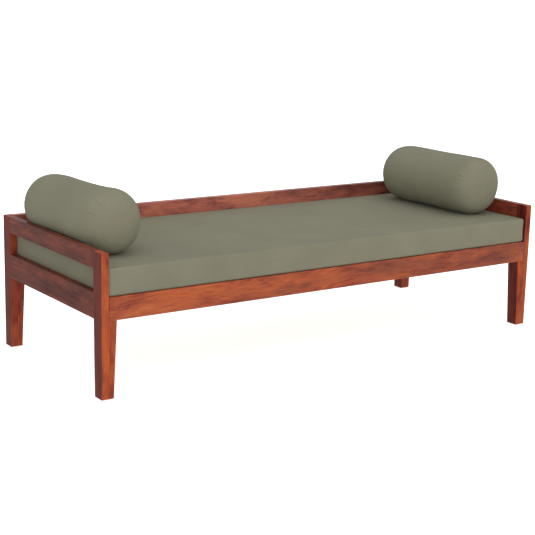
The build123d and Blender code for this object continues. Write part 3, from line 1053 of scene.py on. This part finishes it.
def lump_height(bolster, p, share, angle):
    """How far the filling stands out here. share is the place as a share of the half length."""
    total = 0.0
    up = max(math.cos(angle - math.radians(75)), 0.0)
    for place, reach, amount in top_lumps[bolster.side]:
        total += amount * mm * up * math.exp(-(((share - place) / reach) ** 2))
    total += 1.6 * mm * noise.noise(Vector((p.x * 9.0, p.y * 7.0, p.z * 9.0)))
    total += 0.5 * mm * noise.noise(Vector((p.x * 30.0, p.y * 16.0, p.z * 30.0)))
    return total


def shape_surface(bolster, gathers, p):
    """Adds the lumps, the gathers and the grooves of the seams, which fade out by the mattress."""
    along = (p - bolster.centre).dot(bolster.axis)
    out = p - bolster.centre - bolster.axis * along
    size = out.length
    if size < 1e-6:
        return
    share = along / bolster.half
    angle = math.atan2(out.z, out.dot(bolster.across)) % (2 * math.pi)
    push = lump_height(bolster, p, share, angle) - gather_depth(bolster, gathers, along, angle, size)
    from_seam = (abs(share) - seam_place) * bolster.half / seam_reach
    push -= seam_sink * math.exp(-(from_seam**2))
    p += out / size * push * smooth((p.z - contact) / fade_height)
    p.z = max(p.z, contact)


def draw_to_zip(bolster, p):
    """Draws the cover in to the zip, which lies in a slot between two lips."""
    here = Vector((p.x - bolster.cad_middle.x, p.z - bolster.cad_middle.z))
    from_zip = abs(here.dot(bolster.zip_across))
    from_middle = abs(p.y - bolster.zip_y)
    outwards = here.dot(bolster.zip_out)
    if outwards <= 0 or from_zip >= draw_across or from_middle >= bolster.zip_reach + draw_past:
        return
    share = smooth((draw_across - from_zip) / ease_across)
    share *= smooth((bolster.zip_reach + draw_past - from_middle) / ease_past)
    level = math.sqrt(bolster.cad_radius**2 - from_zip**2) + zip_level
    if from_zip < zip_half and from_middle < bolster.zip_reach:
        level -= zip_slot_depth
    elif from_zip < zip_half + zip_lip_width:
        level += zip_lip_height
    lift = (level - outwards) * share
    p.x += bolster.zip_out.x * lift
    p.z += bolster.zip_out.y * lift


def clear_of_rail(bolster, p):
    """Keeps the cover clear of the end rail that the bolster leans on."""
    rail_low, rail_high = end_rails[bolster.side]
    inner = rail_high.x if bolster.side == "left" else rail_low.x
    over = (p.x - inner) * bolster.outer + rail_gap
    below = rail_high.z + rail_gap - p.z
    if over <= 0 or below <= 0:
        return
    if over < below:
        p.x -= over * bolster.outer
    else:
        p.z += below


def make_bolster(side):
    bolster = Bolster(side)
    points, faces, pinned = bolster_shell(bolster)
    piece = new_piece(f"bolster_{side}_soft", points, faces, cover_cloth, f"bolster_{side}")
    inflate(piece, pinned, cover_pressure, bolster_swell)
    subdivide(piece)
    gathers = gathers_of(side)
    for vertex in piece.data.vertices:
        shape_surface(bolster, gathers, vertex.co)
        draw_to_zip(bolster, vertex.co)
        clear_of_rail(bolster, vertex.co)
    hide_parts(f"bolster_{side}_cover", f"bolster_{side}_insert")


for side in ("left", "right"):
    make_bolster(side)


# ---------------------------------------------------------------- floor, light and camera


def make_stage():
    """A pale floor, which doesn't light the daybed from below."""
    material, graph = new_material("pale_floor")
    vector = object_coordinates(graph)
    tone = graph.noise(graph.stretch(vector, (3.0, 3.0, 3.0)), detail=3.0)
    colour = graph.ramp(tone, [(0.3, (0.88, 0.88, 0.88)), (0.7, (0.92, 0.92, 0.92))])
    shader = graph.add("BsdfPrincipled", {"Base Color": colour})
    shader.inputs["Roughness"].default_value = 0.9
    shader.inputs["Emission Color"].default_value = (1.0, 1.0, 1.0, 1.0)
    shader.inputs["Emission Strength"].default_value = 0.72
    finish_material(graph, shader)
    reach = 150.0
    corners = [(-reach, -reach, 0), (reach, -reach, 0), (reach, reach, 0), (-reach, reach, 0)]
    mesh = bpy.data.meshes.new("floor")
    mesh.from_pydata(corners, [], [(0, 1, 2, 3)])
    mesh.materials.append(material)
    floor = bpy.data.objects.new("floor", mesh)
    floor.visible_diffuse = False
    floor.visible_glossy = False
    floor.visible_shadow = False
    bpy.context.scene.collection.objects.link(floor)


def add_sun(name, towards, strength, softness):
    """A distant soft light that comes from towards; softness is its angle in degrees."""
    data = bpy.data.lights.new(name, "SUN")
    data.energy = strength
    data.angle = math.radians(softness)
    lamp = bpy.data.objects.new(name, data)
    lamp.rotation_euler = Vector(towards).to_track_quat("Z", "Y").to_euler()
    bpy.context.scene.collection.objects.link(lamp)


def make_world(light, seen):
    """White surroundings, with the strength light for the daybed and seen for the camera."""
    world = bpy.data.worlds.new("studio")
    world.use_nodes = True
    sky = Graph(world.node_tree)
    by_camera = sky.add("LightPath", {}).outputs["Is Camera Ray"]
    strength = sky.spread(by_camera, 0.0, 1.0, light, seen, smooth=False)
    background = sky.add("Background", {"Strength": strength})
    background.inputs["Color"].default_value = (1.0, 1.0, 1.0, 1.0)
    sky.add("OutputWorld", {0: background.outputs[0]})
    bpy.context.scene.world = world


make_stage()
add_sun("fill", (-0.42, -0.90, 0.05), 1.02, 50)
add_sun("top", (0.12, -0.30, 0.95), 0.60, 70)
make_world(light=0.70, seen=1.0)
bpy.context.scene.view_settings.view_transform = "Standard"

# The camera's place in metres and its lens in mm.
camera_place = (-2.9223, -4.0935, 1.4169)
camera_lens = 87.58


def make_camera():
    """Looks at the daybed from the front left, a little above the seat."""
    yaw, pitch, roll = 0.6114, 0.2240, 0.0251
    forward = Vector((math.sin(yaw) * math.cos(pitch), math.cos(yaw) * math.cos(pitch), -math.sin(pitch)))
    level = forward.cross(Vector((0, 0, 1))).normalized()
    upright = level.cross(forward)
    right = level * math.cos(roll) + upright * math.sin(roll)
    up = upright * math.cos(roll) - level * math.sin(roll)
    data = bpy.data.cameras.new("camera")
    data.lens = camera_lens
    data.sensor_width = 36.0
    data.clip_end = 500.0
    camera = bpy.data.objects.new("camera", data)
    turn = Matrix((right, up, -forward)).transposed().to_4x4()
    camera.matrix_world = Matrix.Translation(camera_place) @ turn
    bpy.context.scene.collection.objects.link(camera)
    bpy.context.scene.camera = camera


make_camera()
